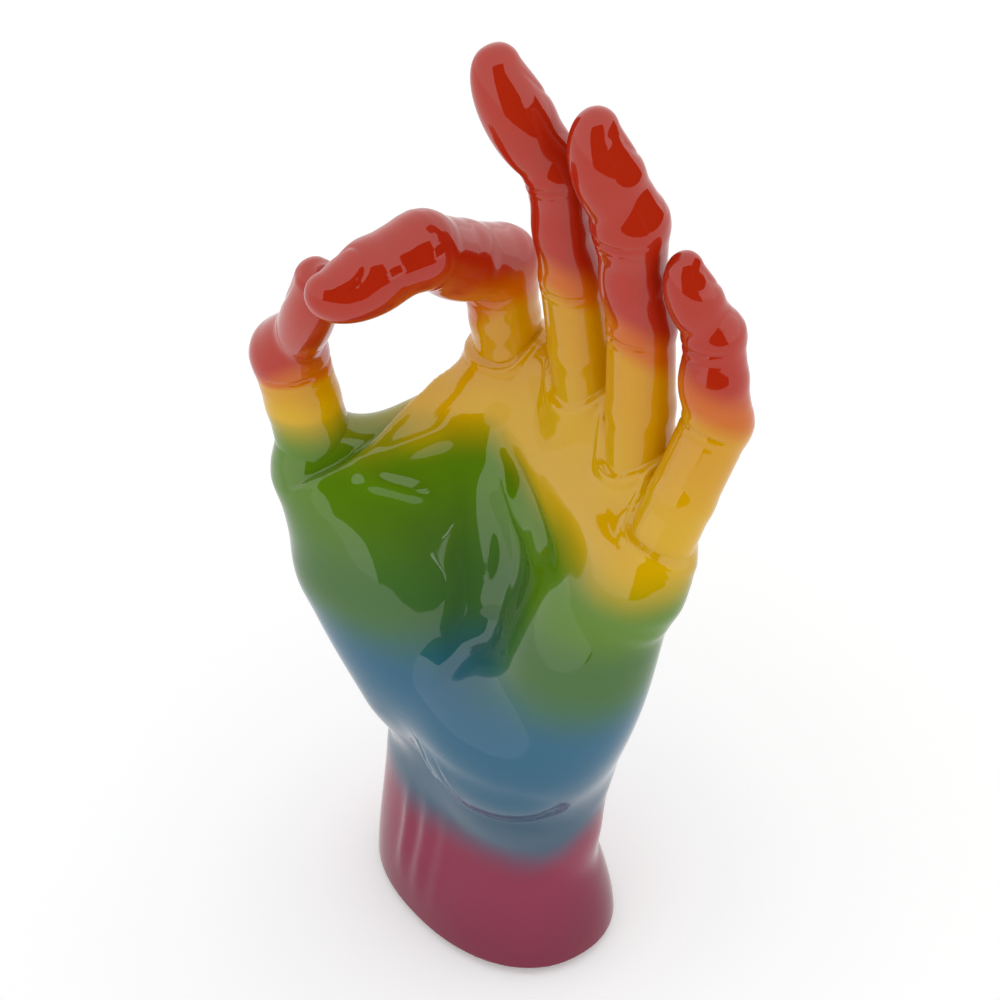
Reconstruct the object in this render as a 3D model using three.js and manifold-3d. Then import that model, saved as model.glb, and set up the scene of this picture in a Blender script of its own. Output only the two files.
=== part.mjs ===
// A left hand making the OK sign, cast in resin and lacquered, that stands on its own wrist.
// The palm and wrist are one hollow casting. Thumb and fingers are cast apart, set into sockets at their
// root creases and held by steel pins. A cast weight, a base plate and a felt pad close the wrist below.

import * as THREE from 'three';
import { mergeVertices } from 'three/addons/utils/BufferGeometryUtils.js';
import Module from 'manifold-3d';

const wasm = await Module();
wasm.setup();

// Driving dimensions in millimetres and degrees.
// The hand stands over its wrist joint, turned to its left and leaning back.
const handTurn = 53;
const handLean = 15.5;
const wristJoint = [2.7, -8.3, 32.5];

// Glue gap between neighbours, the wider one round the poured weight, and how deep the two fingertips
// press into each other's outline.
const fitGap = 0.3;
const weightGap = 0.5;
const pinchPress = 0.5;

// How far a finger casting reaches down into its socket in the palm.
const socketDepth = 5;

// Felt pad, base plate, weight and the hollow above them.
const feltThickness = 2;
const feltInset = 2.5;
const plateThickness = 3;
const plateInset = 5;
const wallThickness = 8;
const hollowHeight = 56;
const weightHeight = 34;
const domeSharpness = 6;

// Forearm stump: half widths across the hand and from palm to back, at the foot and at the neck.
const footHalfWidth = 35;
const footHalfDepth = 24.7;
const neckHalfWidth = 30.8;
const neckHalfDepth = 18.6;
const footShift = [2.2, 1.7];
const neckShift = [-2.8, 1];
const neckHeight = 38;
const stumpTop = 62;
const stumpRounding = 30;
const stumpSquareness = 2.2;

// Steel pins through the finger roots.
const pinDiameter = 3;
const pinInFinger = 16;
const pinInPalm = 16;
const pinChamfer = 0.5;

// Each finger starts at its knuckle, given from the wrist joint as across the palm towards the little
// finger, along the hand, and out of the palm. A bone has a length, a bend out of the plane of the palm
// and a splay towards the little finger. The root is where the finger leaves the palm, measured along
// its first bone. The radii run from the root to the fingertip.
const fingers = {
  index: {
    knuckle: [-30.6, 92, -2],
    knuckleRadius: 11.6,
    bones: [
      { length: 46.5, bend: 22.6, splay: -0.3 },
      { length: 30, bend: 69.4, splay: 26.1 },
      { length: 23.8, bend: 111.2, splay: 9.8 },
    ],
    root: 16.5,
    radii: [9.1, 8.5, 9.4, 8.8, 9, 8.6, 6],
  },
  middle: {
    knuckle: [-7, 96, -6],
    knuckleRadius: 11.8,
    bones: [
      { length: 51.8, bend: 23.7, splay: -1.5 },
      { length: 29.6, bend: 24.8, splay: -0.3 },
      { length: 27.4, bend: 29.7, splay: -26.2 },
    ],
    root: 13,
    radii: [8.8, 8, 7.6, 6.5, 7.2, 8.2, 5.8],
  },
  ring: {
    knuckle: [13, 90, -4],
    knuckleRadius: 11.6,
    bones: [
      { length: 51.5, bend: 13.9, splay: -3.9 },
      { length: 28.4, bend: 23.2, splay: -0.8 },
      { length: 24.4, bend: 27.5, splay: -14.5 },
    ],
    root: 10,
    radii: [8.6, 8.2, 8, 7.4, 8.7, 7.9, 5.8],
  },
  little: {
    knuckle: [27, 82.1, 5.5],
    knuckleRadius: 10,
    bones: [
      { length: 44, bend: -9.5, splay: 3.3 },
      { length: 21.5, bend: 14.8, splay: -8.5 },
      { length: 19, bend: 31.5, splay: -14 },
    ],
    root: 5,
    radii: [8.3, 8, 8.1, 7.5, 7.2, 6.4, 4.9],
  },
};

// The thumb's last bone has no length of its own: it ends where the thumb meets the index fingertip.
const thumb = {
  knuckle: [-50, 74.5, 37.5],
  knuckleRadius: 12.1,
  bones: [
    { length: 31, bend: 21.3, splay: -13 },
  ],
  root: 6,
  radii: [10, 9.1, 9.3, 6.9, 6],
};

// The core of a digit is slimmer than its outline by these amounts on the last bone's middle and end, and
// elsewhere by the first. A pad on the palm side and a knob on the back of each joint fill it out again.
const coreSlim = 0.2;
const tipPadSlim = 2.4;
const tipEndSlim = 0.9;
const tipPad = { share: 0.56, sink: 0.2, halfLength: 0.62, width: 0.94 };
const bonePad = { share: 0.46, sink: 0.16, halfLength: 0.54, width: 1 };
const knob = { rise: 0.14, size: 0.9 };
const padBlend = 1.6;

// Where the thumb meets the index fingertip: the way from one fingertip's centre to the other's.
const pinchWay = [-15.5, -3.6, -7.5];

// Bars from the carpus to the fingers: they start closer together than the knuckles by the spread, and
// end wider than the finger roots by the margin. The thumb's bar ends almost flush with the thumb.
const carpus = { along: 15, out: 0, radius: 15.5, spread: 0.26 };
const rootMargin = 1.6;
const thumbRootMargin = -0.3;
const thumbBase = { at: [-25, 28, 12], radius: 18.2, midRadius: 18, midShare: 0.57 };

// Skin that rises between neighbouring fingers, above their roots by the rise and towards the back of
// the hand by the setback.
const rootWebs = [
  { between: ['index', 'middle'], rise: 6, radius: 6 },
  { between: ['middle', 'ring'], rise: 8, radius: 6 },
  { between: ['ring', 'little'], rise: 9, radius: 5.5 },
];
const rootWebSetback = 2;
const rootWebBlend = 6;

// Fleshy masses: egg shapes over the thumb's base, along the little finger's side, at the heel and on the
// outer wrist bone, and two webs. One web spans from thumb to index, the other lies under the fold that closes the palm there.
const thenar = { at: [-28, 47, 21.5], halves: [19, 32, 16] };
const hypothenar = { at: [16.5, 50, 8.5], halves: [17.5, 32, 15] };
const wristBone = { at: [12.5, 1, -6], halves: [8.5, 8, 8.5] };
const heel = { at: [1, 31, 15.5], halves: [25, 15, 16] };
const thumbWeb = { palmCorner: [-20, 40, 6], indexShare: 0.6, radius: 5.5 };
const foldWeb = { corners: [[-42, 70, 38], [-31, 98, 7], [-17, 58, 11]], radius: 9 };

// How softly the forms run into each other in the palm, and along one finger.
const palmBlend = 9;
const limbBlend = 1.2;

// Facet sizes and the numbers of sides of the round pieces.
const fingerFacet = 3.5;
const palmFacet = 4.95;
const plateSides = 48;
const weightSides = 32;
const weightRows = 6;
const pinSides = 12;

const turn = THREE.MathUtils.degToRad(handTurn);
const lean = THREE.MathUtils.degToRad(handLean);

// The three directions of the hand, and the same two directions laid flat for the forearm.
const handAxes = new THREE.Matrix4().makeRotationFromEuler(new THREE.Euler(-lean, 0, -turn, 'ZXY'));
const across = new THREE.Vector3(1, 0, 0).transformDirection(handAxes);
const along = new THREE.Vector3(0, 0, 1).transformDirection(handAxes);
const out = new THREE.Vector3(0, -1, 0).transformDirection(handAxes);
const flatAcross = new THREE.Vector3(Math.cos(turn), -Math.sin(turn), 0);
const flatOut = new THREE.Vector3(-Math.sin(turn), -Math.cos(turn), 0);

function spot([a, b, c]) {
  return new THREE.Vector3(...wristJoint)
    .addScaledVector(across, a)
    .addScaledVector(along, b)
    .addScaledVector(out, c);
}

function heading(bend, splay) {
  const b = THREE.MathUtils.degToRad(bend);
  const s = THREE.MathUtils.degToRad(splay);
  return new THREE.Vector3()
    .addScaledVector(along, Math.cos(b) * Math.cos(s))
    .addScaledVector(across, Math.cos(b) * Math.sin(s))
    .addScaledVector(out, Math.sin(b));
}

// Clay forms: each is a function of a point that gives about the distance to its surface, negative inside.

function stick(from, to, fromRadius, toRadius) {
  const way = to.clone().sub(from);
  const square = way.lengthSq();
  const rel = new THREE.Vector3();
  return (p) => {
    rel.subVectors(p, from);
    const t = THREE.MathUtils.clamp(rel.dot(way) / square, 0, 1);
    const radius = THREE.MathUtils.lerp(fromRadius, toRadius, THREE.MathUtils.smoothstep(t, 0, 1));
    return rel.addScaledVector(way, -t).length() - radius;
  };
}

function limb(points, radii) {
  const sticks = points.slice(1).map((to, i) => stick(points[i], to, radii[i], radii[i + 1]));
  return blend(limbBlend, ...sticks);
}

function egg(centre, axes, halves) {
  const rel = new THREE.Vector3();
  return (p) => {
    rel.subVectors(p, centre);
    let near = 0;
    let steep = 0;
    axes.forEach((axis, i) => {
      const part = rel.dot(axis) / halves[i];
      near += part * part;
      steep += (part / halves[i]) ** 2;
    });
    near = Math.sqrt(near);
    return near === 0 ? -Math.min(...halves) : near * (near - 1) / Math.sqrt(steep);
  };
}

// A rounded triangular web of even thickness.
function web(a, b, c, radius) {
  const flat = new THREE.Triangle(a, b, c);
  const nearest = new THREE.Vector3();
  return (p) => flat.closestPointToPoint(p, nearest).distanceTo(p) - radius;
}

function blend(softness, ...forms) {
  return (p) => forms.reduce((sum, form) => {
    const next = form(p);
    const overlap = Math.max(softness - Math.abs(sum - next), 0);
    return Math.min(sum, next) - overlap * overlap / (4 * softness);
  }, 1e3);
}

// The oval section of the forearm stump at a height: its half widths, and where its centre lies.
function stumpSection(height) {
  const t = THREE.MathUtils.smoothstep(height, 0, neckHeight);
  const centre = new THREE.Vector3()
    .addScaledVector(flatAcross, THREE.MathUtils.lerp(footShift[0], neckShift[0], t))
    .addScaledVector(flatOut, THREE.MathUtils.lerp(footShift[1], neckShift[1], t));
  const halfWidth = THREE.MathUtils.lerp(footHalfWidth, neckHalfWidth, t);
  const halfDepth = THREE.MathUtils.lerp(footHalfDepth, neckHalfDepth, t);
  return { centre, halfWidth, halfDepth };
}

function oval(halfWidth, halfDepth, count) {
  const points = [];
  for (let i = 0; i < count; i++) {
    const angle = (i / count) * 2 * Math.PI;
    const c = Math.cos(angle);
    const s = Math.sin(angle);
    const size = (Math.abs(c) ** stumpSquareness + Math.abs(s) ** stumpSquareness) ** (-1 / stumpSquareness);
    points.push(new THREE.Vector2(halfWidth * size * c, halfDepth * size * s));
  }
  return points;
}

function stump(p) {
  const { centre, halfWidth, halfDepth } = stumpSection(p.z);
  const rel = p.clone().sub(centre);
  const acrossShare = Math.abs(rel.dot(flatAcross)) / halfWidth;
  const outShare = Math.abs(rel.dot(flatOut)) / halfDepth;
  const ring = (acrossShare ** stumpSquareness + outShare ** stumpSquareness) ** (1 / stumpSquareness);
  const wall = (ring - 1) * halfDepth;
  const top = p.z - stumpTop;
  const overlap = Math.max(stumpRounding - Math.abs(wall - top), 0);
  const side = Math.max(wall, top) + overlap * overlap / (4 * stumpRounding);
  return Math.max(side, -palmFacet - p.z);
}

// Skin a clay form: a net with one corner in each cell of a grid that the surface crosses, each corner
// drawn onto the surface.
function skin(form, low, high, cell) {
  const size = high.clone().sub(low).divideScalar(cell).ceil();
  const [nx, ny, nz] = [size.x + 1, size.y + 1, size.z + 1];
  const index = (i, j, k) => (k * ny + j) * nx + i;
  const values = new Float64Array(nx * ny * nz);
  const p = new THREE.Vector3();
  for (let k = 0; k < nz; k++) {
    for (let j = 0; j < ny; j++) {
      for (let i = 0; i < nx; i++) {
        p.set(low.x + i * cell, low.y + j * cell, low.z + k * cell);
        values[index(i, j, k)] = form(p);
      }
    }
  }
  const corners = [];
  const cornerOf = new Map();
  const offsets = [[0, 0, 0], [1, 0, 0], [0, 1, 0], [1, 1, 0], [0, 0, 1], [1, 0, 1], [0, 1, 1], [1, 1, 1]];
  const edges = [[0, 1], [2, 3], [4, 5], [6, 7], [0, 2], [1, 3], [4, 6], [5, 7], [0, 4], [1, 5], [2, 6], [3, 7]];
  for (let k = 0; k < nz - 1; k++) {
    for (let j = 0; j < ny - 1; j++) {
      for (let i = 0; i < nx - 1; i++) {
        const around = offsets.map(([a, b, c]) => values[index(i + a, j + b, k + c)]);
        const sum = new THREE.Vector3();
        let crossings = 0;
        for (const [s, e] of edges) {
          if ((around[s] < 0) === (around[e] < 0)) continue;
          const t = around[s] / (around[s] - around[e]);
          const from = new THREE.Vector3(...offsets[s]);
          sum.add(from.lerp(new THREE.Vector3(...offsets[e]), t));
          crossings += 1;
        }
        if (crossings === 0) continue;
        sum.divideScalar(crossings).add(new THREE.Vector3(i, j, k)).multiplyScalar(cell).add(low);
        cornerOf.set(index(i, j, k), corners.length);
        corners.push(drawOnto(form, sum, cell));
      }
    }
  }
  const quads = [];
  const steps = [1, nx, nx * ny];
  for (let k = 1; k < nz - 1; k++) {
    for (let j = 1; j < ny - 1; j++) {
      for (let i = 1; i < nx - 1; i++) {
        const here = index(i, j, k);
        for (let axis = 0; axis < 3; axis++) {
          const inside = values[here] < 0;
          if (inside === (values[here + steps[axis]] < 0)) continue;
          const u = steps[(axis + 1) % 3];
          const w = steps[(axis + 2) % 3];
          const quad = [here - u - w, here - w, here, here - u].map((key) => cornerOf.get(key));
          if (!inside) quad.reverse();
          quads.push(quad);
        }
      }
    }
  }
  for (let pass = 0; pass < 3; pass++) relax(form, corners, quads, cell);
  return { corners, triangles: quads.flatMap((quad) => splitQuad(quad, corners)) };
}

// Even out the net: each corner moves half way to the middle of its neighbours and back onto the surface.
function relax(form, corners, quads, cell) {
  const sums = corners.map(() => new THREE.Vector3());
  const counts = corners.map(() => 0);
  for (const quad of quads) {
    quad.forEach((corner, i) => {
      const next = quad[(i + 1) % 4];
      sums[corner].add(corners[next]);
      sums[next].add(corners[corner]);
      counts[corner] += 1;
      counts[next] += 1;
    });
  }
  corners.forEach((corner, i) => {
    const middle = sums[i].divideScalar(counts[i]);
    corner.copy(drawOnto(form, corner.clone().lerp(middle, 0.5), cell));
  });
}

function slopeAt(form, p) {
  const step = 0.05;
  const probe = new THREE.Vector3();
  const difference = (x, y, z) => {
    const ahead = form(probe.set(p.x + x, p.y + y, p.z + z));
    return (ahead - form(probe.set(p.x - x, p.y - y, p.z - z))) / (2 * step);
  };
  return new THREE.Vector3(difference(step, 0, 0), difference(0, step, 0), difference(0, 0, step));
}

function drawOnto(form, start, cell) {
  const p = start.clone();
  for (let i = 0; i < 4; i++) {
    const slope = slopeAt(form, p);
    p.addScaledVector(slope, -form(p) / Math.max(slope.lengthSq(), 0.2));
  }
  const moved = p.clone().sub(start);
  return moved.length() > cell / 2 ? start.clone().addScaledVector(moved.normalize(), cell / 2) : p;
}

// Two triangles over a quad, split along its shorter diagonal.
function splitQuad([a, b, c, d], corners) {
  const short = corners[a].distanceTo(corners[c]) <= corners[b].distanceTo(corners[d]);
  return short ? [[a, b, c], [a, c, d]] : [[a, b, d], [b, c, d]];
}

// The same net, moved outwards by a clearance.
function swell({ corners, triangles }, form, clearance) {
  const moved = corners.map((p) => p.clone().addScaledVector(slopeAt(form, p).normalize(), clearance));
  return { corners: moved, triangles };
}

// Closed meshes to solids and back.

function solidOfNet({ corners, triangles }) {
  const vertProperties = new Float32Array(corners.flatMap((p) => [p.x, p.y, p.z]));
  const triVerts = new Uint32Array(triangles.flat());
  return new wasm.Manifold(new wasm.Mesh({ numProp: 3, vertProperties, triVerts }));
}

function solidOfGeometry(geometry, matrix) {
  const bare = geometry.clone();
  bare.deleteAttribute('normal');
  bare.deleteAttribute('uv');
  if (matrix) bare.applyMatrix4(matrix);
  const merged = mergeVertices(bare, 1e-4);
  const vertProperties = new Float32Array(merged.attributes.position.array);
  const triVerts = new Uint32Array(merged.index.array);
  return new wasm.Manifold(new wasm.Mesh({ numProp: 3, vertProperties, triVerts }));
}

function geometryOfSolid(solid) {
  const mesh = solid.getMesh();
  const geometry = new THREE.BufferGeometry();
  const positions = new Float32Array(mesh.numVert * 3);
  for (let i = 0; i < mesh.numVert; i++) {
    for (let k = 0; k < 3; k++) positions[3 * i + k] = mesh.vertProperties[mesh.numProp * i + k];
  }
  geometry.setAttribute('position', new THREE.BufferAttribute(positions, 3));
  geometry.setIndex(new THREE.BufferAttribute(new Uint32Array(mesh.triVerts), 1));
  geometry.computeVertexNormals();
  return geometry;
}

// The joint centres of one digit, where it leaves the palm, the way of its first bone, and the axis that
// its joints bend about.
function layOut(finger, lastJoint) {
  const joints = [spot(finger.knuckle)];
  for (const { length, bend, splay } of finger.bones) {
    joints.push(joints.at(-1).clone().addScaledVector(heading(bend, splay), length));
  }
  if (lastJoint) joints.push(lastJoint);
  const firstBone = joints[1].clone().sub(joints[0]);
  const way = firstBone.clone().normalize();
  const root = joints[0].clone().addScaledVector(way, finger.root);
  const hinge = lastJoint ? way.clone().cross(joints[2].clone().sub(joints[1])).normalize() : across;
  return { joints, root, way, hinge };
}

// Stations for the radii: the root, half way up the first bone, each joint, half way up each bone
// between, the pad of the fingertip, and its end.
function core(digit, { joints, root, way }) {
  const inside = root.clone().addScaledVector(way, -2 * socketDepth);
  const stations = [inside, root.clone().lerp(joints[1], 0.5), joints[1]];
  for (let i = 2; i < joints.length - 1; i++) {
    stations.push(joints[i - 1].clone().lerp(joints[i], 0.5), joints[i]);
  }
  stations.push(joints.at(-2).clone().lerp(joints.at(-1), 0.5), joints.at(-1));
  const slim = digit.radii.map(() => coreSlim);
  slim.splice(-2, 2, tipPadSlim, tipEndSlim);
  return limb(stations, digit.radii.map((radius, i) => radius - slim[i]));
}

// One bone beyond the root: its pad on the palm side, and the knob behind the joint at its far end.
function fleshOfBone(digit, plan, i) {
  const [start, end] = [plan.joints[i - 1], plan.joints[i]];
  const way = end.clone().sub(start).normalize();
  const palmar = plan.hinge.clone().cross(way).normalize();
  const ways = [way.clone().cross(palmar), way, palmar];
  const radius = digit.radii[2 * i - 1];
  const last = i === plan.joints.length - 1;
  const pad = last ? tipPad : bonePad;
  const flesh = [];
  if (i > 1) {
    const centre = start.clone().lerp(end, pad.share).addScaledVector(palmar, pad.sink * radius);
    const halfLength = pad.halfLength * start.distanceTo(end);
    flesh.push(egg(centre, ways, [pad.width * radius, halfLength, pad.width * radius]));
  }
  if (!last) {
    const jointRadius = digit.radii[2 * i];
    const centre = end.clone().addScaledVector(palmar, -knob.rise * jointRadius);
    flesh.push(egg(centre, ways, ways.map(() => knob.size * jointRadius)));
  }
  return flesh;
}

function digitForm(digit, plan) {
  const flesh = plan.joints.slice(1).flatMap((_, i) => fleshOfBone(digit, plan, i + 1));
  return blend(padBlend, core(digit, plan), ...flesh);
}

const indexPlan = layOut(fingers.index);
const indexTip = indexPlan.joints.at(-1);
const tipsApart = fingers.index.radii.at(-1) + thumb.radii.at(-1) - pinchPress;
const pinch = new THREE.Vector3()
  .addScaledVector(across, pinchWay[0])
  .addScaledVector(along, pinchWay[1])
  .addScaledVector(out, pinchWay[2])
  .normalize();
const thumbPlan = layOut(thumb, indexTip.clone().addScaledVector(pinch, tipsApart));
const plans = { thumb: thumbPlan, index: indexPlan };
for (const name of ['middle', 'ring', 'little']) plans[name] = layOut(fingers[name]);
const shapes = { thumb, ...fingers };

// The palm: one bar for each finger from the carpus to its root, the thumb's base, and the fleshy masses.
function palmForm() {
  const bars = Object.entries(fingers).map(([name, finger]) => {
    const [a] = finger.knuckle;
    const base = spot([a * carpus.spread, carpus.along, carpus.out]);
    const { joints, root } = plans[name];
    const radii = [carpus.radius, finger.knuckleRadius, finger.radii[0] + rootMargin];
    return limb([base, joints[0], root], radii);
  });
  const thumbStart = spot(thumbBase.at);
  const [thumbKnuckle] = thumbPlan.joints;
  const thumbBar = limb(
    [thumbStart, thumbStart.clone().lerp(thumbKnuckle, thumbBase.midShare), thumbKnuckle, thumbPlan.root],
    [thumbBase.radius, thumbBase.midRadius, thumb.knuckleRadius, thumb.radii[0] + thumbRootMargin],
  );
  const handWays = [across, along, out];
  const thenarWay = thumbKnuckle.clone().sub(thumbStart).normalize();
  const thenarOut = out.clone().addScaledVector(thenarWay, -out.dot(thenarWay)).normalize();
  const thenarWays = [thenarWay.clone().cross(thenarOut), thenarWay, thenarOut];
  const indexEnd = indexPlan.joints[0].clone().lerp(indexPlan.root, thumbWeb.indexShare);
  const masses = [
    egg(spot(thenar.at), thenarWays, thenar.halves),
    egg(spot(hypothenar.at), handWays, hypothenar.halves),
    egg(spot(heel.at), handWays, heel.halves),
    egg(spot(wristBone.at), handWays, wristBone.halves),
    web(thumbKnuckle, indexEnd, spot(thumbWeb.palmCorner), thumbWeb.radius),
    web(...foldWeb.corners.map(spot), foldWeb.radius),
  ];
  const webs = rootWebs.map(({ between, rise, radius }) => {
    const [from, to] = between.map((name) => plans[name].root.clone()
      .addScaledVector(plans[name].way, rise)
      .addScaledVector(out, -rootWebSetback));
    return stick(from, to, radius, radius);
  });
  return blend(rootWebBlend, blend(palmBlend, stump, ...bars, thumbBar, ...masses), ...webs);
}

function boundsOf(points, margin) {
  const box = new THREE.Box3().setFromPoints(points).expandByScalar(margin);
  return [box.min, box.max];
}

// A straight pin or bore along a finger's first bone, centred on its root.
function rod(plan, diameter, below, above, chamfer) {
  const r = diameter / 2;
  const profile = [[0, -below], [r - chamfer, -below], [r, chamfer - below], [r, above - chamfer],
    [r - chamfer, above], [0, above]];
  const geometry = new THREE.LatheGeometry(profile.map(([x, y]) => new THREE.Vector2(x, y)), pinSides);
  const turnTo = new THREE.Quaternion().setFromUnitVectors(new THREE.Vector3(0, 1, 0), plan.way);
  const matrix = new THREE.Matrix4().compose(plan.root, turnTo, new THREE.Vector3(1, 1, 1));
  return solidOfGeometry(geometry, matrix);
}

// A block, bigger than any finger's root, whose near face lies square to the finger's first bone, below
// its root by a depth.
function blockBelow(plan, depth) {
  const size = 8 * fingers.ring.radii[0];
  const turnTo = new THREE.Quaternion().setFromUnitVectors(new THREE.Vector3(0, 0, 1), plan.way);
  const centre = plan.root.clone().addScaledVector(plan.way, -depth - size / 2);
  const matrix = new THREE.Matrix4().compose(centre, turnTo, new THREE.Vector3(1, 1, 1));
  return solidOfGeometry(new THREE.BoxGeometry(size, size, size), matrix);
}

const castings = {};
const swollen = {};
const sockets = {};
const bores = {};
const pins = {};
for (const [name, plan] of Object.entries(plans)) {
  const form = digitForm(shapes[name], plan);
  const margin = 2 * socketDepth + Math.max(...shapes[name].radii) + 2 * fingerFacet;
  const [low, high] = boundsOf([plan.root, ...plan.joints.slice(1)], margin);
  const net = skin(form, low, high, fingerFacet);
  const bore = rod(plan, pinDiameter + 2 * fitGap, pinInPalm + fitGap, pinInFinger + fitGap, pinChamfer);
  castings[name] = solidOfNet(net).subtract(blockBelow(plan, socketDepth)).subtract(bore);
  swollen[name] = solidOfNet(swell(net, form, fitGap));
  sockets[name] = swollen[name].subtract(blockBelow(plan, socketDepth + fitGap));
  bores[name] = bore;
  pins[name] = rod(plan, pinDiameter, pinInPalm, pinInFinger, pinChamfer);
}

// The pad of the thumb gives way where the index fingertip presses on it.
castings.thumb = castings.thumb.subtract(swollen.index);

// Flat oval plates and plugs that follow the forearm's section.
function ovalPrism(halfWidth, halfDepth, bottom, top) {
  const shape = new THREE.Shape(oval(halfWidth, halfDepth, plateSides));
  const geometry = new THREE.ExtrudeGeometry(shape, { depth: top - bottom, bevelEnabled: false });
  const centre = stumpSection(0).centre.setZ(bottom);
  const matrix = new THREE.Matrix4().makeRotationZ(-turn).setPosition(centre);
  return solidOfGeometry(geometry, matrix);
}

// A round-topped plug of the forearm's section, drawn in by an inset all round.
function plug(inset, bottom, top) {
  const rows = weightRows;
  const count = weightSides;
  const rings = [];
  for (let i = 0; i <= rows; i++) {
    const height = THREE.MathUtils.lerp(bottom, top, i / rows);
    const { centre, halfWidth, halfDepth } = stumpSection(height);
    const dome = Math.sqrt(1 - (i / (rows + 0.25)) ** domeSharpness);
    rings.push(oval((halfWidth - inset) * dome, (halfDepth - inset) * dome, count)
      .map((q) => new THREE.Vector3(0, 0, height)
        .add(centre)
        .addScaledVector(flatAcross, q.x)
        .addScaledVector(flatOut, -q.y)));
  }
  const lowest = stumpSection(bottom).centre.setZ(bottom);
  const highest = stumpSection(top).centre.setZ(top);
  const corners = [...rings.flat(), lowest, highest];
  const triangles = [];
  for (let i = 0; i < rows; i++) {
    for (let j = 0; j < count; j++) {
      const [a, b] = [i * count + j, i * count + (j + 1) % count];
      triangles.push([a, b, b + count], [a, b + count, a + count]);
    }
  }
  for (let j = 0; j < count; j++) {
    const next = (j + 1) % count;
    triangles.push([next, j, corners.length - 2]);
    triangles.push([rows * count + j, rows * count + next, corners.length - 1]);
  }
  return solidOfNet({ corners, triangles });
}

// Heights from the table up.
const castingBottom = feltThickness + fitGap;
const plateTop = castingBottom + plateThickness;
const weightBottom = plateTop + fitGap;

// The palm casting: the clay form cut flat at the bottom, hollowed from below, with the rebate for the
// base plate and a socket and a bore for each finger.
const palmCorners = Object.values(plans).flatMap(({ joints, root }) => [joints[0], root]);
palmCorners.push(new THREE.Vector3(-footHalfWidth, -footHalfWidth, 0));
palmCorners.push(new THREE.Vector3(footHalfWidth, footHalfWidth, 0));
const [palmLow, palmHigh] = boundsOf(palmCorners, thumbBase.midRadius + palmBlend);
palmLow.z = -3 * palmFacet;
const ground = new THREE.BoxGeometry(4 * footHalfWidth, 4 * footHalfWidth, 4 * footHalfWidth);
const groundPlace = new THREE.Matrix4().setPosition(0, 0, castingBottom - 2 * footHalfWidth);
let palm = solidOfNet(skin(palmForm(), palmLow, palmHigh, palmFacet));
palm = palm.subtract(solidOfGeometry(ground, groundPlace));
palm = palm.subtract(plug(wallThickness, 0, hollowHeight));
palm = palm.subtract(ovalPrism(
  footHalfWidth - plateInset + fitGap,
  footHalfDepth - plateInset + fitGap,
  0,
  plateTop + fitGap,
));
for (const name of Object.keys(plans)) palm = palm.subtract(sockets[name]).subtract(bores[name]);

const plate = ovalPrism(footHalfWidth - plateInset, footHalfDepth - plateInset, castingBottom, plateTop);
const felt = ovalPrism(footHalfWidth - feltInset, footHalfDepth - feltInset, 0, feltThickness);
const weight = plug(wallThickness + weightGap, weightBottom, weightBottom + weightHeight);

// The painted resin in its main colour for each casting, and the plain materials below and inside.
const lacquer = (colour) => new THREE.MeshStandardMaterial({ color: colour, roughness: 0.15, metalness: 0 });
const steel = new THREE.MeshStandardMaterial({ color: 0xb4b6b8, roughness: 0.35, metalness: 1 });
const materials = {
  palm_casting: lacquer(0x5b8a2e),
  thumb_casting: lacquer(0xc2402a),
  index_casting: lacquer(0xbc2a1c),
  middle_casting: lacquer(0xb81c16),
  ring_casting: lacquer(0xb81c16),
  little_casting: lacquer(0xbd2a1e),
  weight: new THREE.MeshStandardMaterial({ color: 0x9a978f, roughness: 0.9, metalness: 0 }),
  base_plate: new THREE.MeshStandardMaterial({ color: 0x8c6b48, roughness: 0.8, metalness: 0 }),
  felt_pad: new THREE.MeshStandardMaterial({ color: 0x24241f, roughness: 1, metalness: 0 }),
};

const statuette = new THREE.Group();

function add(name, solid, material) {
  const mesh = new THREE.Mesh(geometryOfSolid(solid), material);
  mesh.name = name;
  statuette.add(mesh);
}

add('palm_casting', palm, materials.palm_casting);
for (const name of Object.keys(plans)) {
  add(`${name}_casting`, castings[name], materials[`${name}_casting`]);
  add(`${name}_pin`, pins[name], steel);
}
add('weight', weight, materials.weight);
add('base_plate', plate, materials.base_plate);
add('felt_pad', felt, materials.felt_pad);

export default statuette;
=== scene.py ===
import math

import bpy
import numpy as np
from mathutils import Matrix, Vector


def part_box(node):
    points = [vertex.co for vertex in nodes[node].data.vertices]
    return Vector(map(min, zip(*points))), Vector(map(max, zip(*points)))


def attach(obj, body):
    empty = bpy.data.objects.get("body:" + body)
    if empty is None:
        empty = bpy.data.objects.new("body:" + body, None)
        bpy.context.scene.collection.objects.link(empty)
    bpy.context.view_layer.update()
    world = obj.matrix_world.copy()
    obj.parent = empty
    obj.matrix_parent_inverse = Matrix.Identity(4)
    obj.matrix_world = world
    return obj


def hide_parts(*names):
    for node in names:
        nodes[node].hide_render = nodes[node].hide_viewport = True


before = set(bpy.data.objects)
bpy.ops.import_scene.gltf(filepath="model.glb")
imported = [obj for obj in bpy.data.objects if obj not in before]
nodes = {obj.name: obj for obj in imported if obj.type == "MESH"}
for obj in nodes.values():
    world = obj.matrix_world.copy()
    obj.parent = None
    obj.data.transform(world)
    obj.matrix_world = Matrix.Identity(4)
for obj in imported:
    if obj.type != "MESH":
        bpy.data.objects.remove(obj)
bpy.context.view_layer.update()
MM = 0.001


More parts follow.
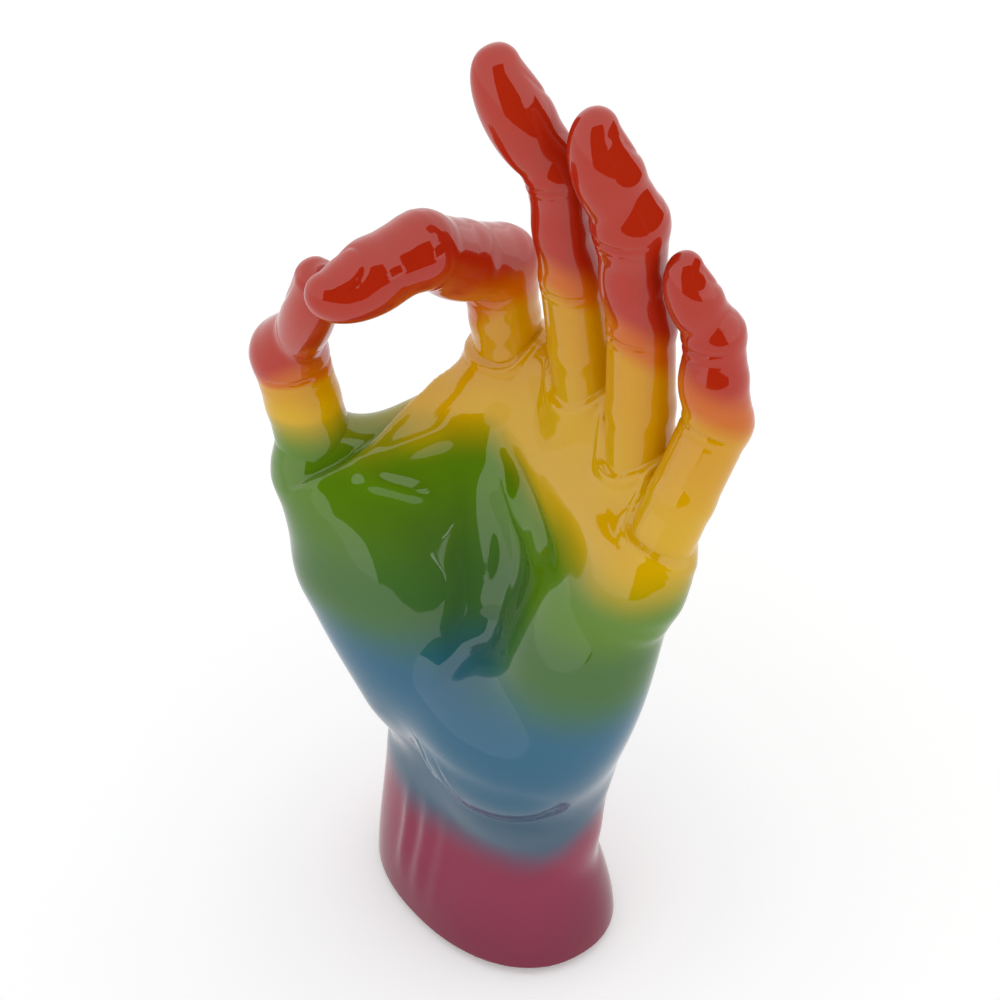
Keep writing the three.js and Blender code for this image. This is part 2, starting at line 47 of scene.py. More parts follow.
# Camera: it looks down on the palm from 40 degrees above, through a long lens.
CAMERA_TARGET = Vector((1.2, -0.6, 122)) * MM
CAMERA_DISTANCE = 0.7
CAMERA_RISE = math.radians(40)
CAMERA_SENSOR = 36
CAMERA_LENS = 111.24
towards_camera = Vector((0, -math.cos(CAMERA_RISE), math.sin(CAMERA_RISE)))
bpy.ops.object.camera_add(location=CAMERA_TARGET + CAMERA_DISTANCE * towards_camera)
camera = bpy.context.object
camera.rotation_euler = towards_camera.to_track_quat("Z", "Y").to_euler()
camera.data.sensor_width = CAMERA_SENSOR
camera.data.lens = CAMERA_LENS
bpy.context.scene.camera = camera


# Palm casting: the palm, the ball of the thumb, the wrist and its flared foot, cast hollow in resin in
# one piece and lacquered. Each digit is set into a socket in it, so the digits' bones are laid out here
# too, in millimetres.
TURN = math.radians(53)
LEAN = math.radians(15.5)
UP = np.array([0.0, 0.0, 1.0])
ACROSS = np.array([math.cos(TURN), -math.sin(TURN), 0])
FLAT_OUT = np.array([-math.sin(TURN), -math.cos(TURN), 0])
ALONG = math.cos(LEAN) * UP - math.sin(LEAN) * FLAT_OUT
OUT = math.cos(LEAN) * FLAT_OUT + math.sin(LEAN) * UP
HAND = np.array([ACROSS, ALONG, OUT])
WRIST = np.array([2.7, -8.3, 32.5])


def spot(place):
    """A place given from the wrist: across to the little finger, along to the tips, out of the palm."""
    return WRIST + np.asarray(place, float) @ HAND


def unit(vector):
    return vector / np.linalg.norm(vector)


def heading(bend, splay):
    """The way a bone points that is bent towards the palm's side and splayed across it, in degrees."""
    b, s = math.radians(bend), math.radians(splay)
    return math.cos(b) * math.cos(s) * ALONG + math.cos(b) * math.sin(s) * ACROSS + math.sin(b) * OUT


# Each digit has its knuckle, the palm's radius over the knuckle, how far along the first bone it leaves
# the palm, how much its core narrows under the fingertip's pad, how deep its nail is cut, its bones as
# length, bend and splay, and its radii from the root to the tip.
DIGITS = {
    "index": dict(knuckle=(-30.6, 92, -2), swell=11.6, root=16.5, waist=0.6, nail=0.45,
                  bones=((46.5, 22.6, -0.3), (30, 69.4, 26.1), (23.8, 111.2, 9.8)),
                  radii=(9.1, 8.5, 9.4, 8.8, 9, 8.6, 6)),
    "middle": dict(knuckle=(-7, 96, -6), swell=11.8, root=13, waist=2, nail=0.2,
                   bones=((51.8, 23.7, -1.5), (29.6, 24.8, -0.3), (27.4, 29.7, -26.2)),
                   radii=(8.8, 8, 7.6, 6.5, 7.2, 8.2, 5.8)),
    "ring": dict(knuckle=(13, 90, -4), swell=11.6, root=10, waist=1, nail=0.2,
                 bones=((51.5, 13.9, -3.9), (28.4, 23.2, -0.8), (24.4, 27.5, -14.5)),
                 radii=(8.6, 8.2, 8, 7.4, 8.7, 7.9, 5.8)),
    "little": dict(knuckle=(27, 82.1, 5.5), swell=10, root=5, waist=1, nail=0.2,
                   bones=((44, -9.5, 3.3), (21.5, 14.8, -8.5), (19, 31.5, -14)),
                   radii=(8.3, 8, 8.1, 7.5, 7.2, 6.4, 4.9)),
    "thumb": dict(knuckle=(-50, 74.5, 37.5), swell=12.1, root=6, waist=2.4, nail=0.2,
                  bones=((31, 21.3, -13),),
                  radii=(10, 9.1, 9.3, 6.9, 6)),
}
FINGERS = ("index", "middle", "ring", "little")
# The thumb's last bone ends against the index fingertip, this way from it and pressed in a little.
PINCH_WAY = (-15.5, -3.6, -7.5)
PINCH_PRESS = 0.5

for digit in DIGITS.values():
    digit["joints"] = [spot(digit["knuckle"])]
    for length, bend, splay in digit["bones"]:
        digit["joints"].append(digit["joints"][-1] + length * heading(bend, splay))
thumb, index = DIGITS["thumb"], DIGITS["index"]
pinch_way = unit(np.array(PINCH_WAY) @ HAND)
pinch_reach = index["radii"][-1] + thumb["radii"][-1] - PINCH_PRESS
thumb["joints"].append(index["joints"][-1] + pinch_way * pinch_reach)
for digit in DIGITS.values():
    digit["way"] = unit(digit["joints"][1] - digit["joints"][0])
    digit["foot"] = digit["joints"][0] + digit["way"] * digit["root"]
    digit["hinge"] = ACROSS
thumb["hinge"] = unit(np.cross(thumb["way"], thumb["joints"][2] - thumb["joints"][1]))


# Clay forms. Each is a function that gives about how far points lie from its surface, negative inside.
def stick(a, b, start, end):
    """A round bar from a to b, with a radius at each end."""
    def form(p):
        rel = p - a
        t = np.clip(rel @ (b - a) / ((b - a) @ (b - a)), 0, 1)
        ease = t * t * (3 - 2 * t)
        return np.linalg.norm(rel - t[:, None] * (b - a), axis=1) - (start + (end - start) * ease)
    return form


def blend(softness, *forms):
    """Forms pressed together, with the clay smoothed into the seams."""
    def form(p):
        total = forms[0](p)
        for other in forms[1:]:
            near = other(p)
            overlap = np.maximum(softness - np.abs(total - near), 0)
            total = np.minimum(total, near) - overlap * overlap / (4 * softness)
        return total
    return form


def limb(points, radii, softness=1.2):
    return blend(softness, *(stick(*pair) for pair in zip(points, points[1:], radii, radii[1:])))


def egg(centre, axes, halves):
    axes, halves = np.asarray(axes), np.asarray(halves, float)

    def form(p):
        part = (p - centre) @ axes.T / halves
        near = np.linalg.norm(part, axis=1)
        return near * (near - 1) / np.maximum(np.linalg.norm(part / halves, axis=1), 1e-6)
    return form


def web(a, b, c, radius):
    """A sheet of skin spanned between three corners."""
    normal = unit(np.cross(b - a, c - a))
    edges = ((a, b), (b, c), (c, a))

    def form(p):
        rise = (p - a) @ normal
        within = np.all([(p - s) @ np.cross(normal, e - s) > 0 for s, e in edges], axis=0)
        rim = np.min([stick(s, e, 0, 0)(p) for s, e in edges], axis=0)
        return np.where(within, np.abs(rise), rim) - radius
    return form


# The wrist's stump is an oval that narrows from the flared foot to a neck and is rounded at the top.
# Its half widths and shifts are across the hand and out of the palm.
FOOT = (35, 24.7)
FOOT_SHIFT = (2.2, 1.7)
NECK = (30.8, 18.6)
NECK_SHIFT = (-2.8, 1)
NECK_HEIGHT = 38
STUMP_BOTTOM = -6
STUMP_TOP = 62
STUMP_ROUNDING = 30
SQUARENESS = 2.2


def stump(p):
    t = np.clip(p[:, 2] / NECK_HEIGHT, 0, 1)
    t = t * t * (3 - 2 * t)
    half = [f + (n - f) * t for f, n in zip(FOOT, NECK)]
    shift = [f + (n - f) * t for f, n in zip(FOOT_SHIFT, NECK_SHIFT)]
    shares = [np.abs(p @ way - s) / h for way, s, h in zip((ACROSS, FLAT_OUT), shift, half)]
    ring = (shares[0] ** SQUARENESS + shares[1] ** SQUARENESS) ** (1 / SQUARENESS)
    wall = (ring - 1) * half[1]
    top = p[:, 2] - STUMP_TOP
    overlap = np.maximum(STUMP_ROUNDING - np.abs(wall - top), 0)
    side = np.maximum(wall, top) + overlap ** 2 / (4 * STUMP_ROUNDING)
    return np.maximum(side, STUMP_BOTTOM - p[:, 2])


# In the palm a bar runs from the small bones of the wrist through each knuckle to the socket's rim.
# They start close together, at a share of the knuckles' places across the hand.
CARPUS = dict(along=15, out=0, radius=15.5, spread=0.26)
SOCKET_RIM = {"index": 1.6, "middle": 1.6, "ring": 1.6, "little": 1.6, "thumb": -0.3}
THUMB_BASE = (-25, 28, 12)
THUMB_BASE_RADII = (18.2, 18)
THUMB_BASE_SHARE = 0.57
bars = []
for name in FINGERS:
    digit = DIGITS[name]
    base = spot((digit["knuckle"][0] * CARPUS["spread"], CARPUS["along"], CARPUS["out"]))
    radii = (CARPUS["radius"], digit["swell"], digit["radii"][0] + SOCKET_RIM[name])
    bars.append(limb((base, digit["joints"][0], digit["foot"]), radii))
thumb_base = spot(THUMB_BASE)
thumb_knuckle = thumb["joints"][0]
thumb_middle = thumb_base + THUMB_BASE_SHARE * (thumb_knuckle - thumb_base)
bars.append(limb((thumb_base, thumb_middle, thumb_knuckle, thumb["foot"]),
                 (*THUMB_BASE_RADII, thumb["swell"], thumb["radii"][0] + SOCKET_RIM["thumb"])))

# Fleshy masses and the wrist's outer bone, as the centre and the half sizes of an egg. The heel hangs
# over the wrist in a fold.
THUMB_BALL = ((-28, 47, 21.5), (19, 32, 16))
LITTLE_BALL = ((16.5, 50, 8.5), (17.5, 32, 15))
WRIST_BONE = ((12.5, 1, -6), (8.5, 8, 8.5))
HEEL = ((1, 31, 15.5), (25, 15, 16))
HEEL_FOLD = ((1.5, 25.5, 13), (25.5, 18.5, 15.6))
# Webs, with half their thickness: from the thumb to the index finger, under the fold beside the thumb,
# and the flat of the palm below the fingers.
THUMB_WEB_CORNER = (-20, 40, 6)
THUMB_WEB_INDEX_SHARE = 0.6
THUMB_WEB_RADIUS = 5.5
FOLD_WEB_CORNERS = ((-42, 70, 38), (-31, 98, 7), (-17, 58, 11))
FOLD_WEB_RADIUS = 9
FLAT_WEB_CORNERS = ((-15, 92, 2), (27, 86, 7), (9, 69, 5))
FLAT_WEB_RADIUS = 7
# The pad across the palm below the finger roots.
FINGER_PAD_RADIUS = 7
FINGER_PAD_SETBACK = 6
FINGER_PAD_RISE = 1.5
# Skin rises this far between neighbouring fingers, with this radius, so that their roots are U-shaped.
ROOT_WEBS = (("index", "middle", 7, 6), ("middle", "ring", 9, 6), ("ring", "little", 10, 5.5))
ROOT_WEB_SETBACK = 2
PALM_SOFTNESS = 9
ROOT_SOFTNESS = 6
FOLD_SOFTNESS = 1


def mass(centre, halves, ways=HAND):
    return egg(spot(centre), ways, halves)


thumb_way = unit(thumb_knuckle - thumb_base)
thumb_out = unit(OUT - (OUT @ thumb_way) * thumb_way)
index_end = index["joints"][0] + THUMB_WEB_INDEX_SHARE * (index["foot"] - index["joints"][0])
finger_pad = [DIGITS[name]["foot"] - FINGER_PAD_SETBACK * DIGITS[name]["way"] + FINGER_PAD_RISE * OUT
              for name in FINGERS]
palm_body = blend(
    PALM_SOFTNESS, stump, *bars,
    mass(*THUMB_BALL, (np.cross(thumb_way, thumb_out), thumb_way, thumb_out)),
    mass(*LITTLE_BALL),
    mass(*WRIST_BONE),
    mass(*HEEL),
    web(thumb_knuckle, index_end, spot(THUMB_WEB_CORNER), THUMB_WEB_RADIUS),
    web(*map(spot, FOLD_WEB_CORNERS), FOLD_WEB_RADIUS),
    limb(finger_pad, [FINGER_PAD_RADIUS] * len(finger_pad)),
    web(*map(spot, FLAT_WEB_CORNERS), FLAT_WEB_RADIUS),
)
root_webs = []
for *neighbours, rise, radius in ROOT_WEBS:
    ends = [DIGITS[name]["foot"] + rise * DIGITS[name]["way"] - ROOT_WEB_SETBACK * OUT
            for name in neighbours]
    root_webs.append(stick(*ends, radius, radius))
palm_form = blend(FOLD_SOFTNESS, blend(ROOT_SOFTNESS, palm_body, *root_webs), mass(*HEEL_FOLD))


# A digit is a tapering core with a pad on the palm side of each bone past the first, and a knob behind
# each joint. Places and sizes of pads and knobs are shares of the bone's length and radius.
ROOT_DEPTH = 10
CORE_SLIM = 0.2
CORE_SLIM_AT_TIP = 0.9
DIGIT_SOFTNESS = 0.9
TIP_PAD = dict(along=0.56, out=0.2, girth=0.94, length=0.62)
BONE_PAD = dict(along=0.46, out=0.16, girth=1, length=0.54)
KNOB_BACK = 0.14
KNOB_GIRTH = 0.9


def digit_form(digit):
    joints, radii = digit["joints"], digit["radii"]
    inside = digit["foot"] - ROOT_DEPTH * digit["way"]
    stations = [inside, (digit["foot"] + joints[1]) / 2, joints[1]]
    for i in range(2, len(joints) - 1):
        stations += [(joints[i - 1] + joints[i]) / 2, joints[i]]
    stations += [(joints[-2] + joints[-1]) / 2, joints[-1]]
    slim = [CORE_SLIM] * (len(radii) - 2) + [digit["waist"], CORE_SLIM_AT_TIP]
    core = limb(stations, [r - less for r, less in zip(radii, slim)])
    flesh = []
    last = len(joints) - 1
    for i in range(1, last + 1):
        way = unit(joints[i] - joints[i - 1])
        palmar = unit(np.cross(digit["hinge"], way))
        ways = (np.cross(way, palmar), way, palmar)
        length = np.linalg.norm(joints[i] - joints[i - 1])
        r = radii[2 * i - 1]
        if i > 1:
            pad = TIP_PAD if i == last else BONE_PAD
            centre = joints[i - 1] + pad["along"] * length * way + pad["out"] * r * palmar
            flesh.append(egg(centre, ways, (r * pad["girth"], pad["length"] * length, r * pad["girth"])))
        if i < last:
            r = radii[2 * i]
            flesh.append(egg(joints[i] - KNOB_BACK * r * palmar, ways, (r * KNOB_GIRTH,) * 3))
    return blend(DIGIT_SOFTNESS, core, *flesh)


def pick(piece):
    bpy.ops.object.select_all(action="DESELECT")
    piece.select_set(True)
    bpy.context.view_layer.objects.active = piece


def add_modifier(kind, **settings):
    piece = bpy.context.object
    modifier = piece.modifiers.new(kind.title(), kind)
    for key, value in settings.items():
        setattr(modifier, key, value)
    bpy.ops.object.modifier_apply(modifier=modifier.name)


def corners_of(piece):
    flat = np.empty(len(piece.data.vertices) * 3)
    piece.data.vertices.foreach_get("co", flat)
    return flat.reshape(-1, 3) / MM


def set_corners(piece, corners):
    piece.data.vertices.foreach_set("co", (corners * MM).ravel())
    piece.data.update()


SLOPE_STEP = 0.05
LEAST_SLOPE = 0.2
# The skin lies this far inside the clay, so that it stays in the solid's box.
SKIN_INSET = 0.2
# A corner of the net moves at most this share of its cell from the cell's middle.
NET_REACH = 0.7


def slope_of(form, p, here):
    return np.stack([form(p + SLOPE_STEP * way) - here for way in np.eye(3)], axis=1) / SLOPE_STEP


def draw_onto(form, p, rounds):
    """Move points along the slope of a form onto its surface."""
    for _ in range(rounds):
        here = form(p)
        slope = slope_of(form, p, here)
        p = p - slope * (here / np.maximum((slope ** 2).sum(axis=1), LEAST_SLOPE))[:, None]
    return p


def skin(name, clay, low, high, cell):
    """Skin a clay form with a closed net of quads: one corner in each cell of a grid that it crosses."""
    def form(p):
        return clay(p) + SKIN_INSET

    counts = np.ceil((high - low) / cell).astype(int) + 1
    steps = [low[i] + cell * np.arange(counts[i]) for i in range(3)]
    grid = np.stack(np.meshgrid(*steps, indexing="ij"), axis=-1)
    inside = form(grid.reshape(-1, 3)).reshape(counts) < 0
    around = sum(inside[i:counts[0] - 1 + i, j:counts[1] - 1 + j, k:counts[2] - 1 + k].astype(int)
                 for i in (0, 1) for j in (0, 1) for k in (0, 1))
    crossed = (around > 0) & (around < 8)
    ids = np.full(crossed.shape, -1)
    ids[crossed] = np.arange(crossed.sum())
    corners = low + cell * (np.argwhere(crossed) + 0.5)
    quads = []
    for axis in range(3):
        b, c = np.eye(3, dtype=int)[(axis + 1) % 3], np.eye(3, dtype=int)[(axis + 2) % 3]
        ahead = np.roll(inside, -1, axis)
        edge = np.argwhere(inside != ahead)
        edge = edge[(edge > 0).all(axis=1) & (edge < np.array(crossed.shape)).all(axis=1)]
        quad = np.stack([ids[tuple((edge - o).T)] for o in (b + c, c, 0 * b, b)], axis=1)
        outward = inside[tuple(edge.T)]
        quads.append(np.where(outward[:, None], quad, quad[:, ::-1]))
    shift = draw_onto(form, corners, 3) - corners
    reach = np.linalg.norm(shift, axis=1, keepdims=True)
    corners = corners + shift * np.minimum(1, NET_REACH * cell / np.maximum(reach, 1e-9))
    mesh = bpy.data.meshes.new(name)
    mesh.from_pydata((corners * MM).tolist(), [], np.concatenate(quads).tolist())
    piece = bpy.data.objects.new(name, mesh)
    bpy.context.scene.collection.objects.link(piece)
    pick(piece)
    add_modifier("SMOOTH", iterations=2)
    add_modifier("SUBSURF", levels=1, render_levels=1)
    set_corners(piece, draw_onto(form, corners_of(piece), 2))
    bpy.ops.object.shade_smooth()
    return piece


# Sculpting marks. Each is a function that gives how far points of the skin move out along their normals.
# A mark reaches this deep from its curve into the hand, so that it doesn't show on the other side.
CREASE_REACH = 6
RIDGE_REACH = 9
STEP_REACH = 8
NOT_REACHED = 1e3
CURVE_POINTS = 48
LIP_PLACE = 2.1
LIP_WIDTH = 1.1
STEP_LIP = 0.45
STEP_LIP_LENGTH = 0.5
STEP_FAR = 100


def smooth_curve(places):
    """A smooth curve through places on the hand."""
    points = np.array([spot(place) for place in places])
    padded = np.concatenate([2 * points[:1] - points[1:2], points, 2 * points[-1:] - points[-2:-1]])
    result = []
    for t in np.linspace(0, len(points) - 1, CURVE_POINTS):
        i = min(int(t), len(points) - 2)
        f = t - i
        a, b, c, d = padded[i:i + 4]
        result.append(0.5 * (2 * b + (c - a) * f + (2 * a - 5 * b + 4 * c - d) * f * f
                             + (3 * b - a - 3 * c + d) * f ** 3))
    return np.array(result)


def nearest_on(curve, p, normals, reach):
    """Distance to a curve over the skin, the side of it, and how far along: only within a reach."""
    best = np.full(len(p), NOT_REACHED)
    side = np.zeros(len(p))
    share = np.zeros(len(p))
    for i, (a, b) in enumerate(zip(curve, curve[1:])):
        rel = p - a
        t = np.clip(rel @ (b - a) / ((b - a) @ (b - a)), 0, 1)
        rel = rel - t[:, None] * (b - a)
        deep = (rel * normals).sum(axis=1)
        flat = rel - deep[:, None] * normals
        far = np.where(np.abs(deep) < reach, np.linalg.norm(flat, axis=1), NOT_REACHED)
        closer = far < best
        best[closer] = far[closer]
        side[closer] = np.sign((np.cross(normals, b - a) * flat).sum(axis=1))[closer]
        share[closer] = ((i + t) / (len(curve) - 1))[closer]
    return best, side, share


def fade(share, ends):
    t = np.clip(np.minimum(share, 1 - share) / ends, 0, 1)
    return t * t * (3 - 2 * t)


def bell(distance, width):
    return np.exp(-(distance / width) ** 2)


def rising(distance, width):
    """From 0 to 1 as a signed distance passes an edge."""
    return 1 / (1 + np.exp(-np.clip(distance / width, -30, 30)))


def crease(places, depth, width, lip, ends):
    """A groove with a low lip on both sides."""
    curve = smooth_curve(places)

    def mark(p, normals):
        far, _, share = nearest_on(curve, p, normals, CREASE_REACH)
        cut = -depth * bell(far, width)
        rims = lip * depth * bell(far - LIP_PLACE * width, LIP_WIDTH * width)
        return (cut + rims) * fade(share, ends)
    return mark


def ridge(places, height, width, ends):
    curve = smooth_curve(places)

    def mark(p, normals):
        far, _, share = nearest_on(curve, p, normals, RIDGE_REACH)
        return height * bell(far, width) * fade(share, ends)
    return mark


def step(places, drop, length, edge, ends):
    """A fold: the skin on the left of the curve drops and climbs back over a length."""
    curve = smooth_curve(places)

    def mark(p, normals):
        far, side, share = nearest_on(curve, p, normals, STEP_REACH)
        signed = far * side
        under = rising(signed, edge)
        low = -drop * under * np.exp(-np.maximum(signed, 0) / length)
        high = STEP_LIP * drop * (1 - under) * bell(signed, STEP_LIP_LENGTH * length)
        return np.where(far < STEP_FAR, (low + high) * fade(share, ends), 0)
    return mark


def sculpt(piece, form, marks):
    corners = corners_of(piece)
    normals = slope_of(form, corners, form(corners))
    normals /= np.linalg.norm(normals, axis=1, keepdims=True)
    moved = sum(mark(corners, normals) for mark in marks)
    set_corners(piece, corners + moved[:, None] * normals)


PALM_MARKS = [
    # The thumb's web folds over the ball of the thumb, up to the index finger's root.
    step([(-46.7, 70.9, 49.1), (-41.3, 77.4, 47.8), (-38.2, 82.9, 41.2), (-38, 87.3, 35.2),
          (-39.1, 92.6, 27.9), (-39.4, 97.1, 22.1), (-39.8, 101.7, 17.1), (-36.7, 109.5, 15)],
         drop=3, length=6, edge=0.3, ends=0.2),
    # Two swellings spread from that fold, over the ball of the thumb and towards the fingers.
    ridge([(-37, 80.1, 42), (-32.6, 80, 36.9), (-29.2, 79.6, 32.5), (-25.9, 79.1, 28.2),
           (-21.8, 78.5, 22.5)], height=1.5, width=2.7, ends=0.35),
    ridge([(-36.4, 79.6, 43), (-34.5, 84.3, 36.8), (-32.3, 88.3, 30.6), (-28.7, 91.9, 24.2),
           (-24.6, 95.3, 17.6)], height=1.1, width=3.4, ends=0.25),
    # The line round the ball of the thumb, and the swelling beside it.
    crease([(-23.3, 91.6, 16.8), (-18.7, 79.5, 18.2), (-12.7, 66.9, 19.4), (-8.3, 55.9, 20.5),
            (-4.7, 45.3, 25.1), (-2.9, 38.9, 29)], depth=1.1, width=3.6, lip=0, ends=0.25),
    ridge([(-18, 90.5, 11.1), (-15.6, 82.6, 10.7), (-9.7, 72, 8.7), (-2.7, 60.5, 12.3),
           (4.6, 51.3, 19.7)], height=1.5, width=4, ends=0.25),
    # The line across the palm, and the narrow swelling below it.
    ridge([(-22.4, 95.2, 14.7), (-16.8, 87.5, 10.7), (-9, 79.3, 7.9), (1.1, 73.6, 9.8),
           (9, 71, 14)], height=0.8, width=1.7, ends=0.35),
    crease([(-20.9, 96.7, 12.4), (-15.7, 90.2, 7.5), (-6.5, 84.8, 6.9), (4.7, 78.5, 9),
            (17, 74.7, 16)], depth=1.3, width=2, lip=0.2, ends=0.35),
    # Two wrinkles where the heel folds over the wrist.
    crease([(-2.6, 23.4, 29.2), (4, 17.1, 24.4), (9.8, 12.1, 20.6), (16.6, 12, 18.3)],
           depth=0.25, width=0.8, lip=0.35, ends=0.35),
    crease([(-9.6, 24.4, 29.2), (-4, 18.1, 25.4), (2, 12.1, 22.6)],
           depth=0.25, width=0.8, lip=0.35, ends=0.35),
    # Three tendons on the front of the wrist.
    ridge([(-17.4, 1, 17.8), (-14.9, -14.9, 15.5), (-14.5, -30.7, 14.4)], height=1, width=2.6, ends=0.4),
    ridge([(-9.4, 1.5, 19.7), (-7.8, -14.4, 15.6), (-7.7, -33.9, 14.3)], height=1, width=2.6, ends=0.4),
    ridge([(-1.9, 1.9, 19.4), (-1.3, -15.2, 14.8), (-1, -32.9, 13.3)], height=0.5, width=2.4, ends=0.4),
]
# Each finger's socket has a fine raised rim. The thumb's has none.
RIM_RISE = 0.75
RIM_WIDTH = 0.75
RIM_GAP = 1


def root_rims(p, normals):
    rise = 0
    for name in FINGERS:
        rise = rise + RIM_RISE * bell(digit_form(DIGITS[name])(p) - RIM_GAP, RIM_WIDTH)
    return rise


PALM_CELL = 1.5
PALM_MARGIN = 5
CASTING_BOTTOM = 2.3
palm_low, palm_high = (np.array(corner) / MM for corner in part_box("palm_casting"))
palm = skin("palm", palm_form, palm_low - PALM_MARGIN, palm_high + PALM_MARGIN, PALM_CELL)
sculpt(palm, palm_form, PALM_MARKS + [root_rims])
pick(palm)
bpy.ops.object.mode_set(mode="EDIT")
bpy.ops.mesh.select_all(action="SELECT")
bpy.ops.mesh.bisect(plane_co=(0, 0, CASTING_BOTTOM * MM), plane_no=(0, 0, 1),
                    use_fill=True, clear_inner=True)
bpy.ops.object.mode_set(mode="OBJECT")


# Shader maths on sockets, so that the patterns read as formulas.
class Wire:
    def __init__(self, tree, socket):
        self.tree, self.socket = tree, socket

    def node(self, kind, inputs=(), output=0, **settings):
        made = self.tree.nodes.new(kind)
        for key, value in settings.items():
            setattr(made, key, value)
        for key, value in dict(inputs).items():
            if isinstance(value, Wire):
                self.tree.links.new(value.socket, made.inputs[key])
            else:
                made.inputs[key].default_value = value
        return Wire(self.tree, made.outputs[output])

    def part(self, name):
        return Wire(self.tree, self.socket.node.outputs[name])

    def into(self, shader, name):
        self.tree.links.new(self.socket, shader.inputs[name])

    def maths(self, operation, other=0.0, third=0.0):
        return self.node("ShaderNodeMath", {0: self, 1: other, 2: third}, operation=operation)

    def __add__(self, other):
        return self.maths("ADD", other)

    def __radd__(self, other):
        return self.maths("ADD", other)

    def __sub__(self, other):
        return self.maths("SUBTRACT", other)

    def __rsub__(self, other):
        return (self * -1).maths("ADD", other)

    def __mul__(self, other):
        return self.maths("MULTIPLY", other)

    def __rmul__(self, other):
        return self.maths("MULTIPLY", other)

    def between(self, low, high):
        return self.node("ShaderNodeMapRange", {"Value": self, "From Min": low, "From Max": high},
                         interpolation_type="SMOOTHSTEP")


def new_material(name):
    material = bpy.data.materials.new(name)
    material.use_nodes = True
    tree = material.node_tree
    place = tree.nodes.new("ShaderNodeTexCoord").outputs["Object"]
    return material, tree.nodes["Principled BSDF"], Wire(tree, place)


# The lacquer is airbrushed in level bands, given by height: crimson, blue, green, yellow, orange and red.
BANDS = (
    (0, (0.20, 0.006, 0.035)),
    (25, (0.26, 0.008, 0.05)),
    (38, (0.03, 0.09, 0.15)),
    (76, (0.016, 0.12, 0.21)),
    (94, (0.055, 0.15, 0.03)),
    (121, (0.10, 0.22, 0.004)),
    (135, (0.69, 0.40, 0.0)),
    (172, (0.66, 0.31, 0.0)),
    (179, (0.62, 0.13, 0.0)),
    (187, (0.45, 0.02, 0.004)),
    (260, (0.45, 0.022, 0.005)),
)
RAINBOW_TOP = BANDS[-1][0]
DRIFT = 6
# On the palm the yellow reaches lower towards the little finger, and on the wrist the crimson reaches
# higher on that side. Above the finger roots the red reaches lower on the thumb, on the little finger
# and on the backs of the fingers.
FINGER_ROOTS = (130, 143)
PALM_LIFT = 10
PALM_LIFT_ACROSS = (-2, 12)
PALM_LIFT_ABOVE = (96, 108)
WRIST_DROP = 11
WRIST_DROP_ACROSS = (8, 32)
WRIST_DROP_BELOW = (40, 62)
SIDE_LIFT = 0.54
SIDE_LIFT_FROM = 12
BACK_LIFT = 0.8
BACK_LIFT_FROM = 8

lacquer, shader, place = new_material("rainbow lacquer")
axes = place.node("ShaderNodeSeparateXYZ", {0: place})
x, y, z = (axes.part(axis) * (1 / MM) for axis in "XYZ")
drift = place.node("ShaderNodeTexNoise", {"Vector": place, "Scale": 38, "Detail": 2})
fingers = z.between(*FINGER_ROOTS)
palm_lift = x.between(*PALM_LIFT_ACROSS) * PALM_LIFT * z.between(*PALM_LIFT_ABOVE) * (1 - fingers)
wrist_drop = x.between(*WRIST_DROP_ACROSS) * WRIST_DROP * (1 - z.between(*WRIST_DROP_BELOW))
back_lift = (y - BACK_LIFT_FROM).maths("MAXIMUM", 0) * BACK_LIFT
finger_lift = ((x - SIDE_LIFT_FROM).maths("ABSOLUTE") * SIDE_LIFT + back_lift) * fingers
level = z + palm_lift - wrist_drop + finger_lift + (drift - 0.5) * DRIFT
height = level * (1 / RAINBOW_TOP)
rainbow = height.node("ShaderNodeValToRGB", {"Fac": height})
ramp = rainbow.socket.node.color_ramp
ramp.interpolation = "EASE"
for band, colour in BANDS[1:-1]:
    ramp.elements.new(band / RAINBOW_TOP).color = (*colour, 1)
ramp.elements[0].color = (*BANDS[0][1], 1)
ramp.elements[-1].color = (*BANDS[-1][1], 1)
rainbow.into(shader, "Base Color")
shader.inputs["Roughness"].default_value = 0.05
shader.inputs["IOR"].default_value = 1.52
flow = place.node("ShaderNodeTexNoise", {"Vector": place, "Scale": 120, "Detail": 1})
runs = flow.node("ShaderNodeBump", {"Height": flow, "Strength": 0.15, "Distance": 0.0006})
runs.into(shader, "Normal")
palm.data.materials.append(lacquer)
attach(palm, "root")
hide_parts("palm_casting")


# Thumb casting: the thumb's two free bones in solid resin, pinned and glued into the palm at their
# root. The pad is pressed in by the index fingertip, which closes the ring of the gesture.
DIGIT_CELL = 1.1
MARGIN_BELOW = 6
MARGIN_ABOVE = 4
TOUCH_GAP = 0.15
# Lines across each joint: the place along the digit, depth, width, and the side, 1 for the palm's. They
# bow round the digit, end within a few radii of the joint, and fade out where the skin turns sideways.
JOINT_LINES = ((0, 0.5, 0.45, 1), (-2.6, 0.14, 0.4, 1), (0, 0.06, 0.7, -1), (2.8, 0.06, 0.7, -1))
JOINT_LINE_BOW = 0.02
JOINT_LINE_REACH = 2.2
JOINT_LINE_END = 0.1
JOINT_LINE_FADE = 0.6
# The nail's half sizes, the height on the digit where it starts and its reach are shares of the last
# bone's length and radius or of its own half length.
NAIL_HALF_LENGTH = 0.24
NAIL_HALF_WIDTH = 0.62
NAIL_START = 0.2
NAIL_REACH = 1.6
NAIL_START_FADE = 1.5
NAIL_SQUARENESS = 3
NAIL_FROM_TIP = 0.6
NAIL_GROOVE = 0.45
NAIL_EDGE = 0.3
NAIL_PLATE_SHARE = 0.4


